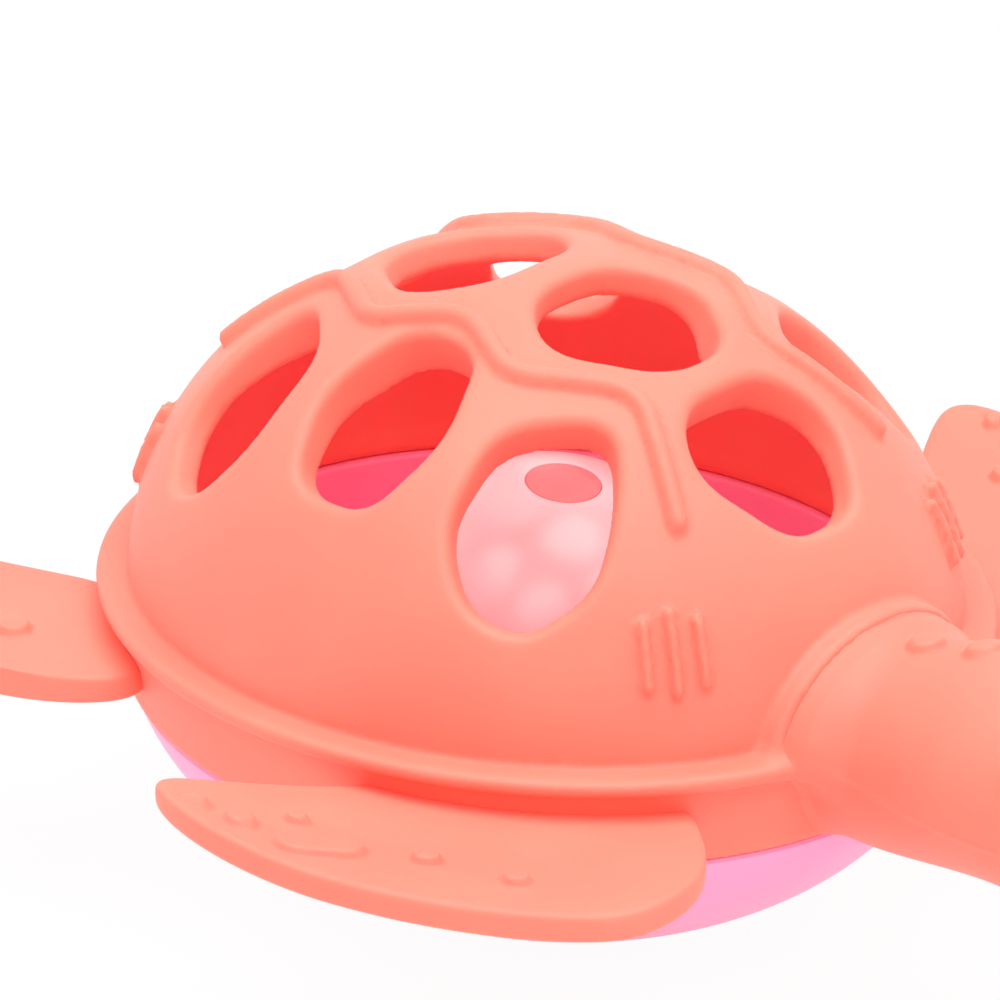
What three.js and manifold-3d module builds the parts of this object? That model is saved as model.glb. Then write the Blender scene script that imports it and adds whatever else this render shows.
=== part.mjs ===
// A soft sea turtle teething rattle: an open coral shell over a hard pink bowl, with a loose ball inside.
// Millimetres. +X is the turtle's heading, +Y its left and +Z up. The origin is the middle of the flat foot.

import * as THREE from 'three';
import { mergeVertices } from 'three/addons/utils/BufferGeometryUtils.js';
import Module from 'manifold-3d';

// Shell: an oval dome standing on a proud rim, with a band below the rim that grips the bowl
const RIM_LENGTH = 106;
const RIM_WIDTH = 94;
const RIM_HEIGHT = 33.5; // middle of the rim above the foot
const LIP_REACH = 4.2; // rim past the foot of the dome
const LIP_THICKNESS = 2.4;
const LIP_NOSE = 1.5; // depth of the round along the rim's edge
const DOME_HEIGHT = 39; // above the middle of the rim
const SHELL_WALL = 4;
const BAND_HEIGHT = 10; // below the middle of the rim
const BAND_SETBACK = 2.2; // band inside the rim's edge
const BAND_TAPER = 1.2; // how far the band draws in towards its lower edge

// Bowl: the hard base, with an upright wall that stands inside the band
const BOWL_SETBACK = 3.1; // widest part of the bowl inside the rim's edge
const BOWL_MIDDLE = 4.5; // its widest level, below the middle of the rim
const FOOT_LENGTH = 35.2; // flat foot along the heading
const BOWL_WALL = 2.4;
const BOWL_FLOOR = 2.6;
const UPRIGHT_SETBACK = 6.7; // outside of the upright wall inside the rim's edge
const UPRIGHT_WALL = 2.2;
const UPRIGHT_DROP = 4; // top of the upright wall below the middle of the rim
const SNAP_HEIGHT = 2.4; // round bead on the upright wall that snaps into the band
const SNAP_DEPTH = 0.8;
const SNAP_DROP = 6.8; // middle of the bead below the middle of the rim

// Finger openings and ridges, in degrees unrolled from the top of the dome: along the heading, then across.
// The pattern is the same fore and aft of its middle, and on both sides.
const PATTERN_FORWARD = 1.5; // middle of the pattern ahead of the top of the dome
const INNER_OPENING = [[2.7, 9], [13, 17.5], [27, 7], [27, -7], [13, -17.5], [2.7, -9]];
const OUTER_OPENING = [[31, 10], [41, 17], [56.5, 8.5], [56.5, -8.5], [41, -17], [31, -10]];
const MIDDLE_SIDE_OPENING = [[6, 22], [12.5, 38], [8, 56], [-8, 56], [-12.5, 38], [-6, 22]];
const END_SIDE_OPENING = [[17, 33], [28, 20], [43.5, 43], [39.5, 57.5], [29, 60], [20, 51]];
const OPENING_ROUND = 6.5; // where each corner's round starts, from the corner
const HALF_RIDGE = [[0, 17.5], [12.5, 24], [26.5, 13.5], [45.5, 25]]; // corners from the middle to one end
const RIDGE_ROUND = 4;
const RIDGE_WIDTH = 2.4;
const RIDGE_RISE = 1.3;
const STROKE_HEADINGS = [28.5, 32.5, 36.5]; // three short strokes beside each end of the dome
const STROKE_FROM_TOP = [65.5, 76]; // where a stroke starts and ends
const STROKE_WIDTH = 1.5;
const STROKE_RISE = 0.9;

// Head: a hollow soft neck and head that leave the shell under an arch of the rim
const NECK_WIDTH = 24.8;
const NECK_HEIGHT = 23.2;
const NECK_DROP = 0.6; // middle of the neck below the middle of the rim
const NECK_ROOT = 8.5; // how far the neck reaches in behind its pivot
const NECK_CLEARANCE = 0.6;
const ARCH_WIDTH = 1.8; // width of the rim where it arches over the neck
const ARCH_PROUD = 3; // how far the arch stands off the dome
const HEAD_WIDTH = 29.4;
const HEAD_HEIGHT = 25;
const HEAD_LIFT = 3.4; // middle of the head above the middle of the neck
const HEAD_MIDDLE = 24.5; // widest place ahead of the neck's pivot
const HEAD_REACH = 39.5; // nose ahead of the neck's pivot
const HEAD_WALL = 3;
const HEAD_NOD = 8; // how far the neck bends up or down, in degrees
const HEAD_BUMPS = [6.5, 14, 21.5]; // low bumps on top, ahead of the neck's pivot
const HEAD_BUMP_RADIUS = 2.4;
const EYE_RADIUS = 2.4;
const EYE_AHEAD = 29.5; // eyes ahead of the neck's pivot
const EYE_ANGLE = 28; // eyes above the middle of the head

// Flippers: places are headings round the band in degrees and reaches out from it
const FLIPPER_THICKNESS = 3.4;
const FLIPPER_DROP = 3.4; // top of the root below the middle of the rim
const BUMP_HEIGHT = 1;
const FRONT_FLIPPER = {
  rootStart: 31.5, // headings of the ends of the root
  rootEnd: 73,
  startSweep: 4.5, // degrees that each end sweeps back on its way out
  endSweep: 12.5,
  reach: 25,
  startRise: 2, // of the outer edge at each end
  endRise: 7.8,
  bumps: [
    { heading: 80.5, reach: 19, radius: 1.5 },
    { heading: 77, reach: 16.5, radius: 2.1 },
    { heading: 74, reach: 11.2, radius: 1.7 },
    { heading: 69.7, reach: 15.5, radius: 3.2 },
    { heading: 60.6, reach: 12, radius: 2 },
    { heading: 51.4, reach: 14.8, radius: 1.9 },
  ],
};
const REAR_FLIPPER = {
  rootStart: 115.5,
  rootEnd: 143.5,
  startSweep: 15.5,
  endSweep: 4.5,
  reach: 27,
  startRise: 1,
  endRise: 2,
  bumps: [
    { heading: 130.6, reach: 11.3, radius: 2.4 },
    { heading: 138, reach: 18.5, radius: 1.8 },
    { heading: 126.5, reach: 5.6, radius: 1.6 },
  ],
};

// Rattle ball: two half shells with a plug at the top, and loose beads inside
const BALL_RADIUS = 22.5;
const BALL_WALL = 1.8;
const BALL_TILT = 8; // plug from upright, towards the heading
const SPIGOT_HEIGHT = 1.6; // of the lower half inside the upper half
const SPIGOT_WALL = 0.9;
const PLUG_RADIUS = 4.2;
const PLUG_FLANGE = 1.3; // of the plug's head behind the wall, past the hole
const PLUG_FLANGE_THICKNESS = 1;
const BEAD_COUNT = 6;
const BEAD_RADIUS = 2.5;
const BEAD_FROM_BOTTOM = 20; // degrees up the inside of the ball
const BEAD_GAP = 0.6; // between a bead and the inside of the ball

const FIT = 0.3; // gap between pieces that seat on each other
const ROUND_SIDES = 40; // sides of the shell and the bowl
const BALL_SIDES = 24;

const CORAL = { color: '#ff9a80', roughness: 0.55, metalness: 0 };
const PINK = { color: '#ffa6cc', roughness: 0.3, metalness: 0 };
const PALE_PINK = { color: '#ffc4c8', roughness: 0.25, metalness: 0 };
const SALMON = { color: '#ff8385', roughness: 0.4, metalness: 0 };
const IVORY = { color: '#fff3e4', roughness: 0.4, metalness: 0 };
const DARK_BROWN = { color: '#3a2320', roughness: 0.3, metalness: 0 };

const wasm = await Module();
wasm.setup();
const { degToRad, lerp, smoothstep } = THREE.MathUtils;

const OVAL = RIM_WIDTH / RIM_LENGTH; // every level of the shell and bowl has this plan
const rimRadius = RIM_LENGTH / 2;
const domeRadius = rimRadius - LIP_REACH;
const innerDomeRadius = domeRadius - SHELL_WALL;
const innerDomeHeight = DOME_HEIGHT - SHELL_WALL;
const uprightRadius = rimRadius - UPRIGHT_SETBACK;
const bowlRadius = rimRadius - BOWL_SETBACK;
const bowlMiddle = RIM_HEIGHT - BOWL_MIDDLE;
const bowlDepth = bowlMiddle / Math.sqrt(1 - (FOOT_LENGTH / 2 / bowlRadius) ** 2); // with no foot cut flat
const uprightTop = RIM_HEIGHT - UPRIGHT_DROP;
const bandFoot = RIM_HEIGHT - BAND_HEIGHT;
const neckPivot = domeRadius + (ARCH_PROUD - SHELL_WALL) / 2; // in the middle of the arch and the wall
const neckMiddle = RIM_HEIGHT - NECK_DROP;
const ballHeight = BOWL_FLOOR + FIT + BALL_RADIUS;

// Solids

function solidFrom(geometry) {
  const plain = geometry.clone();
  plain.deleteAttribute('normal');
  plain.deleteAttribute('uv');
  const merged = mergeVertices(plain, 1e-4);
  const corners = merged.index.array;
  const triangles = [];
  for (let i = 0; i < corners.length; i += 3) {
    const [a, b, c] = corners.slice(i, i + 3);
    if (a !== b && b !== c && c !== a) triangles.push(a, b, c);
  }
  const vertProperties = new Float32Array(merged.attributes.position.array);
  const triVerts = new Uint32Array(triangles);
  return new wasm.Manifold(new wasm.Mesh({ numProp: 3, vertProperties, triVerts }));
}

function geometryFrom(solid) {
  const { vertProperties, triVerts } = solid.getMesh();
  const geometry = new THREE.BufferGeometry();
  geometry.setAttribute('position', new THREE.BufferAttribute(new Float32Array(vertProperties), 3));
  geometry.setIndex(new THREE.BufferAttribute(new Uint32Array(triVerts), 1));
  geometry.computeVertexNormals();
  return geometry;
}

// A turned solid with its axis upright, from [radius, height] points that run up its outside.
function turned(profile, sides = ROUND_SIDES) {
  const points = profile.map(([radius, height]) => new THREE.Vector2(Math.max(radius, 0), height));
  return new THREE.LatheGeometry(points, sides).rotateX(Math.PI / 2);
}

function turnedOval(profile) {
  return solidFrom(turned(profile).scale(1, OVAL, 1));
}

// A closed skin over a row of rings with the same count of points, with a fan over each end.
function skin(rings) {
  const count = rings[0].length;
  const points = rings.flat();
  const lastRing = points.length - count;
  const middleOf = (ring) => ring.reduce((sum, p) => sum.add(p), new THREE.Vector3()).divideScalar(count);
  points.push(middleOf(rings[0]), middleOf(rings.at(-1)));
  const faces = [];
  for (let i = 0; i < count; i++) {
    const next = (i + 1) % count;
    for (let start = 0; start < lastRing; start += count) {
      faces.push(start + i, start + next, start + next + count);
      faces.push(start + i, start + next + count, start + i + count);
    }
    faces.push(points.length - 2, next, i);
    faces.push(points.length - 1, lastRing + i, lastRing + next);
  }
  const geometry = new THREE.BufferGeometry().setFromPoints(points);
  geometry.setIndex(faces);
  return solidFrom(geometry);
}

// An oval arc as [radius, height] points, between two angles up from level.
function ovalArc(radius, height, middle, from, to, steps) {
  const angles = Array.from({ length: steps + 1 }, (_, i) => degToRad(lerp(from, to, i / steps)));
  return angles.map((angle) => [radius * Math.cos(angle), middle + height * Math.sin(angle)]);
}

function angleUpOval(height, fullHeight) {
  return THREE.MathUtils.radToDeg(Math.asin(height / fullHeight));
}

// Where an oval of the given depth below its middle has a radius.
function depthAtRadius(radius, fullRadius, fullDepth) {
  return fullDepth * Math.sqrt(1 - (radius / fullRadius) ** 2);
}

function placedSphere(radius, place, flatten = 1) {
  const sphere = new THREE.SphereGeometry(radius, 10, 7).rotateX(Math.PI / 2).scale(1, 1, flatten);
  return solidFrom(sphere.translate(place.x, place.y, place.z));
}

function joined(solids) {
  return solids.reduce((whole, piece) => whole.add(piece));
}

// Places on the dome

// A point over the dome and the way out of it there, from degrees unrolled from the top.
function onDome([along, across], lift = 0) {
  const fromTop = degToRad(Math.hypot(along, across));
  const round = Math.atan2(across, along);
  const halves = new THREE.Vector3(domeRadius, domeRadius * OVAL, DOME_HEIGHT);
  const unit = new THREE.Vector3(Math.cos(round), Math.sin(round), 0).multiplyScalar(Math.sin(fromTop));
  unit.z = Math.cos(fromTop);
  const out = unit.clone().divide(halves).normalize();
  const place = unit.clone().multiply(halves).addScaledVector(out, lift);
  place.z += RIM_HEIGHT;
  return { place, out };
}

// Swaps fore for aft, or left for right, and moves the pattern to its middle.
function patternPlace([along, across], end, side) {
  return [PATTERN_FORWARD + end * along, side * across];
}

function bend(before, corner, after, run, steps) {
  const [a, b, c] = [before, corner, after].map(([x, y]) => new THREE.Vector2(x, y));
  const from = b.clone().add(a.sub(b).setLength(run));
  const to = b.clone().add(c.sub(b).setLength(run));
  return new THREE.QuadraticBezierCurve(from, b, to).getPoints(steps).map((p) => [p.x, p.y]);
}

function roundedOutline(corners, run) {
  const around = (i) => corners.at(i % corners.length);
  return corners.flatMap((corner, i) => bend(around(i - 1), corner, around(i + 1), run, 3));
}

// A cutter through the wall of the dome, square to it all round.
function openingCutter(corners, end, side) {
  const outline = roundedOutline(corners, OPENING_ROUND).map((place) => patternPlace(place, end, side));
  const outwards = THREE.ShapeUtils.isClockWise(outline.map(([x, y]) => new THREE.Vector2(x, y)));
  if (outwards) outline.reverse();
  const ringAt = (lift) => outline.map((place) => onDome(place, lift).place);
  return skin([ringAt(-1.6 * SHELL_WALL), ringAt(0), ringAt(SHELL_WALL)]);
}

// A low rounded ridge along a path on the dome, half sunk in its wall, with narrowed ends.
function domeRidge(path, width, rise) {
  const places = path.map((place) => onDome(place));
  const rings = places.map(({ place, out }, i) => {
    const before = places[Math.max(i - 1, 0)].place;
    const after = places[Math.min(i + 1, places.length - 1)].place;
    const side = out.clone().cross(after.clone().sub(before)).normalize();
    const size = i === 0 || i === places.length - 1 ? 0.4 : 1;
    return Array.from({ length: 6 }, (_, k) => {
      const turn = (k * Math.PI) / 3;
      const point = place.clone().addScaledVector(side, (size * width * Math.cos(turn)) / 2);
      return point.addScaledVector(out, size * rise * Math.sin(turn));
    });
  });
  return skin(rings);
}

// Zig-zag ridge on one side of the dome.
function zigZag(side) {
  const half = (end) => HALF_RIDGE.map((place) => patternPlace(place, end, side));
  const corners = [...half(-1).reverse(), ...half(1).slice(1)];
  const inner = corners.slice(1, -1);
  const bends = inner.flatMap((corner, i) => bend(corners[i], corner, corners[i + 2], RIDGE_ROUND, 3));
  const inFromEnd = (end, next) => end.map((value, k) => lerp(value, next[k], 0.06));
  const start = [corners[0], inFromEnd(corners[0], corners[1])];
  const finish = [inFromEnd(corners.at(-1), corners.at(-2)), corners.at(-1)];
  return domeRidge([...start, ...bends, ...finish], RIDGE_WIDTH, RIDGE_RISE);
}

// Three short strokes beside one end of the dome.
function strokes(end, side) {
  const [from, to] = STROKE_FROM_TOP;
  return STROKE_HEADINGS.map((heading) => {
    const along = Math.cos(degToRad(heading)) * end;
    const across = Math.sin(degToRad(heading)) * side;
    const path = [0, 0.1, 0.9, 1].map((part) => lerp(from, to, part));
    return domeRidge(path.map((fromTop) => [fromTop * along, fromTop * across]), STROKE_WIDTH, STROKE_RISE);
  });
}

// Shell

// A solid bar round the neck with extra thickness all round, between two distances ahead of the origin.
function neckBar(extra, from, to) {
  const bar = new THREE.CylinderGeometry(1, 1, to - from, 32).rotateZ(-Math.PI / 2);
  bar.scale(1, NECK_WIDTH / 2 + extra, NECK_HEIGHT / 2 + extra);
  return solidFrom(bar.translate((from + to) / 2, 0, neckMiddle));
}

function domeOver(extra) {
  const outside = ovalArc(domeRadius + extra, DOME_HEIGHT + extra, RIM_HEIGHT, 0, 90, 12);
  const foot = RIM_HEIGHT - LIP_THICKNESS / 2;
  return turnedOval([[0, foot], [domeRadius + extra, foot], ...outside]);
}

function carapaceSolid() {
  const bandRadius = rimRadius - BAND_SETBACK;
  const lipNose = ovalArc(LIP_NOSE, LIP_THICKNESS / 2, RIM_HEIGHT, -90, 90, 4);
  const crease = angleUpOval(LIP_THICKNESS / 2, DOME_HEIGHT);
  const pocket = uprightRadius + FIT;
  const ledge = uprightTop + FIT;
  const groove = pocket + SNAP_DEPTH;
  const grooveMiddle = RIM_HEIGHT - SNAP_DROP;
  const shell = turnedOval([
    [bandRadius - BAND_TAPER, bandFoot],
    [bandRadius, RIM_HEIGHT - LIP_THICKNESS / 2],
    ...lipNose.map(([depth, height]) => [rimRadius - LIP_NOSE + depth, height]),
    ...ovalArc(domeRadius, DOME_HEIGHT, RIM_HEIGHT, crease, 90, 10),
    ...ovalArc(innerDomeRadius, innerDomeHeight, RIM_HEIGHT, 90, 0, 7),
    [innerDomeRadius, ledge],
    [pocket, ledge],
    [pocket, grooveMiddle + SNAP_HEIGHT / 2 + FIT],
    [groove, grooveMiddle + SNAP_HEIGHT / 6 + FIT],
    [groove, grooveMiddle - SNAP_HEIGHT / 6 - FIT],
    [pocket, grooveMiddle - SNAP_HEIGHT / 2 - FIT],
    [pocket, bandFoot],
    [bandRadius - BAND_TAPER, bandFoot],
  ]);

  const hollow = turnedOval([
    [0, bandFoot],
    [pocket, bandFoot],
    [pocket, ledge],
    ...ovalArc(innerDomeRadius, innerDomeHeight, RIM_HEIGHT, 0, 90, 7),
  ]);
  const archBar = neckBar(NECK_CLEARANCE + ARCH_WIDTH, neckPivot - NECK_HEIGHT / 2, rimRadius);
  const arch = archBar.intersect(domeOver(ARCH_PROUD)).subtract(hollow);

  const ends = [1, -1];
  const sides = [1, -1];
  const cutters = [
    ...ends.map((end) => openingCutter(INNER_OPENING, end, 1)),
    ...ends.map((end) => openingCutter(OUTER_OPENING, end, 1)),
    ...sides.map((side) => openingCutter(MIDDLE_SIDE_OPENING, 1, side)),
    ...ends.flatMap((end) => sides.map((side) => openingCutter(END_SIDE_OPENING, end, side))),
  ];
  const allStrokes = ends.flatMap((end) => sides.flatMap((side) => strokes(end, side)));
  const raised = [...sides.map(zigZag), ...allStrokes];
  const neckHole = neckBar(NECK_CLEARANCE, 0, 2 * rimRadius);
  return joined([shell, arch, ...raised]).subtract(joined(cutters)).subtract(neckHole);
}

// Bowl

function bowlOutside(extra) {
  const depth = bowlDepth + extra;
  const foot = -angleUpOval(bowlMiddle, depth);
  const shoulder = -angleUpOval(bowlMiddle - bandFoot + FIT, depth);
  return ovalArc(bowlRadius + extra, depth, bowlMiddle, foot, shoulder, 8);
}

function bowlSolid() {
  const insideRadius = bowlRadius - BOWL_WALL;
  const insideDepth = bowlMiddle - BOWL_FLOOR;
  const wallInside = uprightRadius - UPRIGHT_WALL;
  const wallFoot = -angleUpOval(depthAtRadius(wallInside, insideRadius, insideDepth), insideDepth);
  const snap = RIM_HEIGHT - SNAP_DROP;
  return turnedOval([
    [0, 0],
    ...bowlOutside(0),
    [uprightRadius, bandFoot - FIT],
    [uprightRadius, snap - SNAP_HEIGHT / 2],
    [uprightRadius + SNAP_DEPTH, snap - SNAP_HEIGHT / 6],
    [uprightRadius + SNAP_DEPTH, snap + SNAP_HEIGHT / 6],
    [uprightRadius, snap + SNAP_HEIGHT / 2],
    [uprightRadius, uprightTop],
    [wallInside, uprightTop],
    ...ovalArc(insideRadius, insideDepth, bowlMiddle, wallFoot, -90, 8),
  ]);
}

// Everything that the neck has to stay clear of behind and below it, as one solid core.
function bowlEnvelope() {
  const gap = NECK_CLEARANCE;
  const wall = uprightRadius + SNAP_DEPTH + gap;
  const shoulder = bandFoot + gap;
  const top = uprightTop + FIT;
  return turnedOval([[0, 0], ...bowlOutside(gap), [wall, shoulder], [wall, top], [0, top]]);
}

// Head

function headSize(ahead) {
  const swell = smoothstep(ahead, NECK_HEIGHT / 8, HEAD_MIDDLE);
  const past = Math.max(ahead - HEAD_MIDDLE, 0) / (HEAD_REACH - HEAD_MIDDLE);
  const nose = Math.sqrt(Math.max(1 - past ** 2, 0));
  const rootTaper = Math.max(-ahead, 0) * Math.tan(degToRad(HEAD_NOD)); // room to nod under the arch
  return {
    halfWidth: (lerp(NECK_WIDTH, HEAD_WIDTH, swell) / 2) * nose,
    halfHeight: (lerp(NECK_HEIGHT, HEAD_HEIGHT, swell) / 2) * nose - rootTaper,
    middle: neckMiddle + HEAD_LIFT * swell,
  };
}

// A point on the head, from its distance ahead of the neck's pivot and an angle up from its left side.
function onHead(ahead, angle, inset = 0) {
  const { halfWidth, halfHeight, middle } = headSize(ahead);
  const y = (halfWidth - inset) * Math.cos(angle);
  const z = middle + (halfHeight - inset) * Math.sin(angle);
  return new THREE.Vector3(neckPivot + ahead, y, z);
}

function headSkin(from, to, inset) {
  const bodyParts = [from, ...[0, 0.3, 0.5, 0.75, 1].map((part) => part * HEAD_MIDDLE)];
  const noseParts = [0.35, 0.6, 0.8, 0.93, 1].map((part) => lerp(HEAD_MIDDLE, to, part));
  const sides = 24;
  const ring = (ahead) =>
    Array.from({ length: sides }, (_, k) => onHead(ahead, (k * 2 * Math.PI) / sides, inset));
  return skin([...bodyParts, ...noseParts].map(ring));
}

function eyePlace(side) {
  const place = onHead(EYE_AHEAD, degToRad(EYE_ANGLE));
  place.y *= side;
  return place;
}

function headSolid() {
  const outside = headSkin(-NECK_ROOT, HEAD_REACH - 0.2, 0);
  const inside = headSkin(-NECK_ROOT - 1, HEAD_REACH - 2 * HEAD_WALL, HEAD_WALL);
  const bumps = HEAD_BUMPS.map((ahead) => placedSphere(HEAD_BUMP_RADIUS, onHead(ahead, Math.PI / 2), 0.45));
  const pockets = [1, -1].map((side) => placedSphere(EYE_RADIUS + FIT, eyePlace(side)));
  const envelope = bowlEnvelope();
  const keepClear = [-HEAD_NOD, 0, HEAD_NOD].map((angle) => {
    const aboutPivot = envelope.translate([-neckPivot, 0, -RIM_HEIGHT]).rotate([0, angle, 0]);
    return aboutPivot.translate([neckPivot, 0, RIM_HEIGHT]);
  });
  return joined([outside, ...bumps]).subtract(joined([inside, ...pockets, ...keepClear]));
}

// Flippers

// A place beside the band, at a heading and a reach out from it.
function besideBand(heading, reach, height) {
  const radius = rimRadius - BAND_SETBACK;
  const turn = degToRad(heading);
  const place = new THREE.Vector3(radius * Math.cos(turn), radius * OVAL * Math.sin(turn), height);
  const out = new THREE.Vector3(OVAL * Math.cos(turn), Math.sin(turn), 0).normalize();
  return place.addScaledVector(out, reach);
}

// How far back each end of a flipper has swept, part of the way out.
function sweptBack({ startSweep, endSweep }, outward) {
  return [startSweep * outward ** 2, endSweep * (1 - (1 - outward) ** 1.6)];
}

// A place in a flipper's middle surface: part of the way along the root, and part of the way out.
function inFlipper(flipper, along, outward, lift = 0) {
  const [start, end] = sweptBack(flipper, outward);
  const heading = lerp(flipper.rootStart + start, flipper.rootEnd + end, along);
  const rounding = Math.min(1, 0.8 + 1.6 * along, 0.82 + 1.6 * (1 - along));
  const raised = outward * lerp(flipper.startRise, flipper.endRise, along ** 2);
  const height = RIM_HEIGHT - FLIPPER_DROP - FLIPPER_THICKNESS / 2 + raised;
  return besideBand(heading, FIT + flipper.reach * rounding * outward, height + lift);
}

function flipperBump(flipper, { heading, reach, radius }) {
  const outward = (reach - FIT) / flipper.reach;
  const [start, end] = sweptBack(flipper, outward);
  const from = flipper.rootStart + start;
  const along = (heading - from) / (flipper.rootEnd + end - from);
  const place = inFlipper(flipper, along, outward, FLIPPER_THICKNESS / 2);
  return placedSphere(radius, place, BUMP_HEIGHT / radius);
}

function flipperSolid(flipper, side) {
  const half = FLIPPER_THICKNESS / 2;
  const edge = half / flipper.reach;
  const top = [[edge * 0.3, 0.7], [edge, 1], [0.35, 1], [0.7, 1], [1 - edge, 1], [1 - edge * 0.3, 0.7]];
  const below = top.map(([outward, lift]) => [outward, -lift]).reverse();
  const section = [[0, 0], ...top, [1, 0], ...below];
  const stations = [0, 0.03, 0.1, 0.22, 0.36, 0.5, 0.64, 0.78, 0.88, 0.96, 1];
  const rings = stations.map((along, i) => {
    const thin = i === 0 || i === stations.length - 1 ? 0.5 : 1;
    return section.map(([outward, lift]) => inFlipper(flipper, along, outward, lift * half * thin));
  });
  const blade = skin(rings);
  const left = joined([blade, ...flipper.bumps.map((bump) => flipperBump(flipper, bump))]);
  return side > 0 ? left : left.mirror([0, 1, 0]);
}

// Rattle ball, about its own middle with the plug at the top

const innerBallRadius = BALL_RADIUS - BALL_WALL;

function ballArc(radius, from, to, steps = 7) {
  return ovalArc(radius, radius, 0, from, to, steps);
}

function ballUpperHalf() {
  const hole = PLUG_RADIUS + FIT;
  const holeAngle = (radius) => 90 - THREE.MathUtils.radToDeg(Math.asin(hole / radius));
  const seam = angleUpOval(FIT, BALL_RADIUS);
  return solidFrom(turned([
    ...ballArc(BALL_RADIUS, seam, holeAngle(BALL_RADIUS)),
    ...ballArc(innerBallRadius, holeAngle(innerBallRadius), seam),
    [BALL_RADIUS * Math.cos(degToRad(seam)), FIT],
  ], BALL_SIDES));
}

function ballLowerHalf() {
  const spigot = innerBallRadius - FIT - 0.1;
  return solidFrom(turned([
    ...ballArc(BALL_RADIUS, -90, 0),
    [spigot, 0],
    [spigot - FIT / 2, SPIGOT_HEIGHT],
    [spigot - SPIGOT_WALL, SPIGOT_HEIGHT],
    [spigot - SPIGOT_WALL, 0],
    ...ballArc(innerBallRadius - SPIGOT_WALL, -12, -90, 6),
  ], BALL_SIDES));
}

function ballPlug() {
  const shoulder = innerBallRadius * Math.cos(Math.asin((PLUG_RADIUS + PLUG_FLANGE) / innerBallRadius)) - FIT;
  const crown = 90 - THREE.MathUtils.radToDeg(Math.asin(PLUG_RADIUS / BALL_RADIUS));
  const flange = PLUG_RADIUS + PLUG_FLANGE;
  return solidFrom(turned([
    [0, shoulder - PLUG_FLANGE_THICKNESS],
    [flange, shoulder - PLUG_FLANGE_THICKNESS],
    [flange, shoulder],
    [PLUG_RADIUS, shoulder],
    ...ballArc(BALL_RADIUS, crown, 90, 3),
  ], BALL_SIDES));
}

// Beads lie in a ring on the inside of the ball.
function beadPlace(index) {
  const middle = innerBallRadius - SPIGOT_WALL - BEAD_GAP - BEAD_RADIUS;
  const round = (index * 2 * Math.PI) / BEAD_COUNT;
  const up = degToRad(BEAD_FROM_BOTTOM);
  const out = middle * Math.sin(up);
  return new THREE.Vector3(out * Math.cos(round), out * Math.sin(round), ballHeight - middle * Math.cos(up));
}

// Scene graph

function piece(name, solid, look) {
  const mesh = new THREE.Mesh(geometryFrom(solid), new THREE.MeshStandardMaterial(look));
  mesh.name = name;
  return mesh;
}

const turtle = new THREE.Group();
turtle.add(piece('carapace', carapaceSolid(), CORAL));
turtle.add(piece('bowl', bowlSolid(), PINK));
turtle.add(piece('head', headSolid(), CORAL));

for (const [name, side] of [['left', 1], ['right', -1]]) {
  turtle.add(piece(`eye_${name}`, placedSphere(EYE_RADIUS, eyePlace(side)), DARK_BROWN));
  turtle.add(piece(`front_flipper_${name}`, flipperSolid(FRONT_FLIPPER, side), CORAL));
  turtle.add(piece(`rear_flipper_${name}`, flipperSolid(REAR_FLIPPER, side), CORAL));
}

const ball = new THREE.Group();
ball.position.z = ballHeight;
ball.rotation.y = degToRad(BALL_TILT);
ball.add(piece('ball_upper_half', ballUpperHalf(), PALE_PINK));
ball.add(piece('ball_lower_half', ballLowerHalf(), PALE_PINK));
ball.add(piece('ball_plug', ballPlug(), SALMON));
turtle.add(ball);

for (let i = 0; i < BEAD_COUNT; i++) {
  const bead = piece(`bead_${i + 1}`, solidFrom(new THREE.SphereGeometry(BEAD_RADIUS, 10, 7)), IVORY);
  bead.position.copy(beadPlace(i));
  turtle.add(bead);
}

export default turtle;
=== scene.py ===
# %% [markdown]
# # A soft turtle teething rattle
#
# The toy is an open dome of soft coral rubber that grips a hard pink bowl. A pale ball with beads in it rolls in
# the bowl, and a head and four flippers of the same rubber stand out at the rim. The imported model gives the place
# and size of every piece and the joints; this lesson gives the pieces their round forms and their finishes.

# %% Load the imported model
import math

import bpy
import numpy as np
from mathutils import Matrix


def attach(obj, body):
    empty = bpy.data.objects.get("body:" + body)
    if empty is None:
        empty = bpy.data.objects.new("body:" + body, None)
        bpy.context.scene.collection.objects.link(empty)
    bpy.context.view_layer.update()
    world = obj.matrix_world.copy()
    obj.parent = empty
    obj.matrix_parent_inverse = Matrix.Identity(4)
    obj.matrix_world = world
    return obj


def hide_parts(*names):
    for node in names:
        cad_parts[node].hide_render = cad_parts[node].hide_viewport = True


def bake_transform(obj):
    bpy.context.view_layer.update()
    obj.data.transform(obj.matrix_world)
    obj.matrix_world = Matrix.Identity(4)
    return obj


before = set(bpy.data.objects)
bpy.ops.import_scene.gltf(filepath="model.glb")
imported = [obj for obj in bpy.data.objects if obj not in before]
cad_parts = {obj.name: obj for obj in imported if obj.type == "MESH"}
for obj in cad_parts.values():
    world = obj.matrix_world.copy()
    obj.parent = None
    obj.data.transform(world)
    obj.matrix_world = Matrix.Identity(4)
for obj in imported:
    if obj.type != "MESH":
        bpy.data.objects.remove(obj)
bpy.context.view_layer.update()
print("pieces in the packed model:", len(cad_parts))

# %% [markdown]
# ## Camera
#
# The photograph was taken from the front right and a little above, from far enough away that lines hardly
# converge. The aim is the middle of the rim. The frame cuts off the head and a flipper, so the lens is shifted
# rather than the camera turned, which keeps the view of the dome the same.

# %% Camera
AZIMUTH, ELEVATION = 42.9, 25.9  # degrees
AIM = np.array([0.0, 0.0, 0.0335])
DISTANCE = 0.65
FRAME_WIDTH = 0.1111  # what the picture's width spans at the aim
AIM_IN_PICTURE = (0.543, 0.5872)  # from the left and from the top
SENSOR = 36  # mm

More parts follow.
